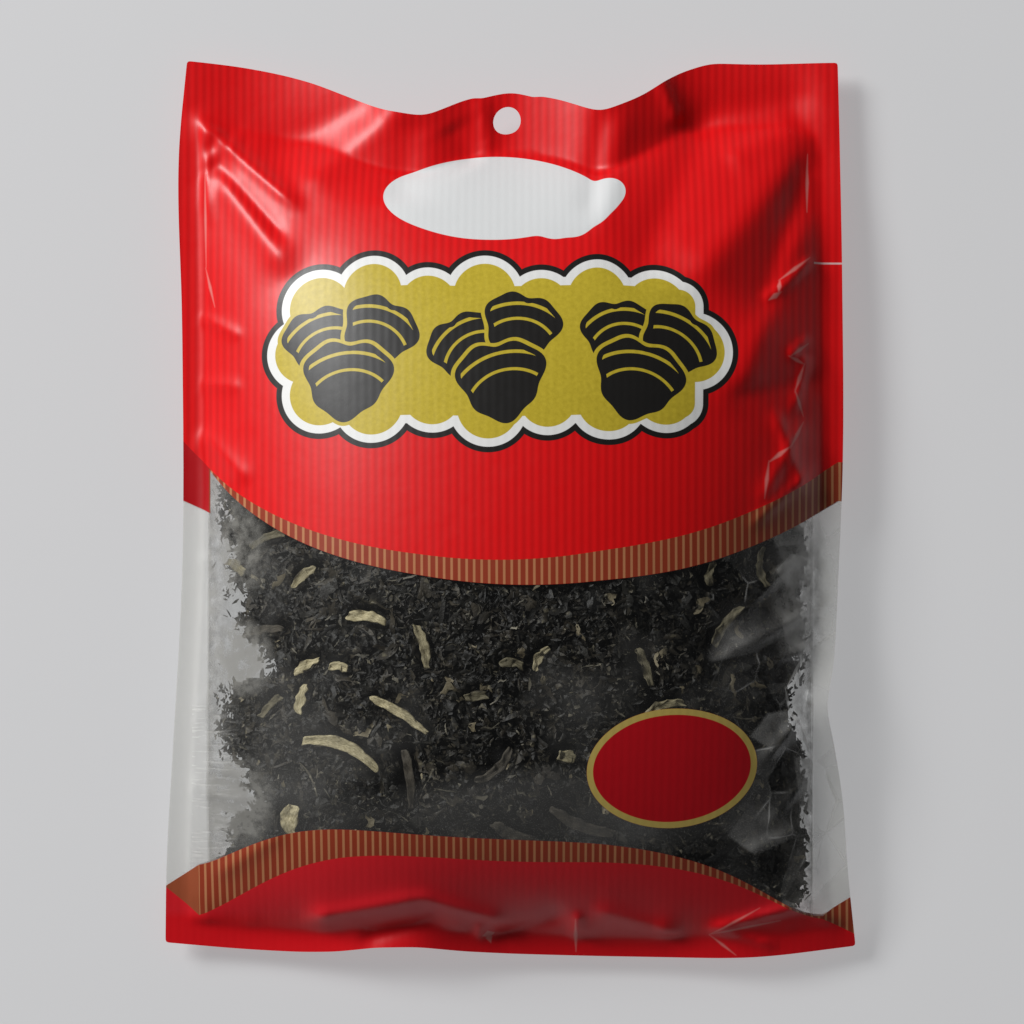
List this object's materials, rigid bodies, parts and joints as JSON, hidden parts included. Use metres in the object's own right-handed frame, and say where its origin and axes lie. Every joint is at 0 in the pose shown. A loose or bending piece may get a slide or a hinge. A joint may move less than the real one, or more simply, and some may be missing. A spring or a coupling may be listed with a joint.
{
  "type": "bag of dried wood ear strips",
  "caption": "Sealed flat pouch of dried wood ear strips, lying on its back: red film with a clear window, welded edges and a header with a hang hole.",
  "frame": {"origin": "under the middle of the pouch, on the surface it lies on", "axes": "+X across the pouch to the right of its printed face, +Y from the bottom seal to the header, +Z out of the printed face"},
  "size_m": [0.19, 0.2468, 0.0424],
  "materials": {
    "printed_film": "glossy print with a clear window",
    "clear_film": "glossy, with red print and a clear window",
    "dried_fungus": "dull, wrinkled",
    "pale_underside": "felty"
  },
  "bodies": {
    "root": {"front_film": "printed_film", "back_film": "clear_film", "strip_heap": "dried_fungus", "pale_strip_01": "pale_underside", "pale_strip_02": "pale_underside", "pale_strip_03": "pale_underside", "pale_strip_04": "pale_underside", "pale_strip_05": "pale_underside", "pale_strip_06": "pale_underside", "pale_strip_07": "pale_underside", "pale_strip_08": "pale_underside", "pale_strip_09": "pale_underside", "pale_strip_10": "pale_underside", "pale_strip_11": "pale_underside", "pale_strip_12": "pale_underside", "pale_strip_13": "pale_underside", "pale_strip_14": "pale_underside", "pale_strip_15": "pale_underside", "pale_strip_16": "pale_underside", "pale_strip_17": "pale_underside", "pale_strip_18": "pale_underside", "pale_strip_19": "pale_underside", "pale_strip_20": "pale_underside", "pale_strip_21": "pale_underside", "pale_strip_22": "pale_underside", "dark_strip_01": "dried_fungus", "dark_strip_02": "dried_fungus", "dark_strip_03": "dried_fungus", "dark_strip_04": "dried_fungus", "dark_strip_05": "dried_fungus", "dark_strip_06": "dried_fungus", "dark_strip_07": "dried_fungus", "dark_strip_08": "dried_fungus", "dark_strip_09": "dried_fungus", "dark_strip_10": "dried_fungus", "dark_strip_11": "dried_fungus", "dark_strip_12": "dried_fungus", "dark_strip_13": "dried_fungus", "dark_strip_14": "dried_fungus", "dark_strip_15": "dried_fungus", "dark_strip_16": "dried_fungus"}
  },
  "joints": []
}
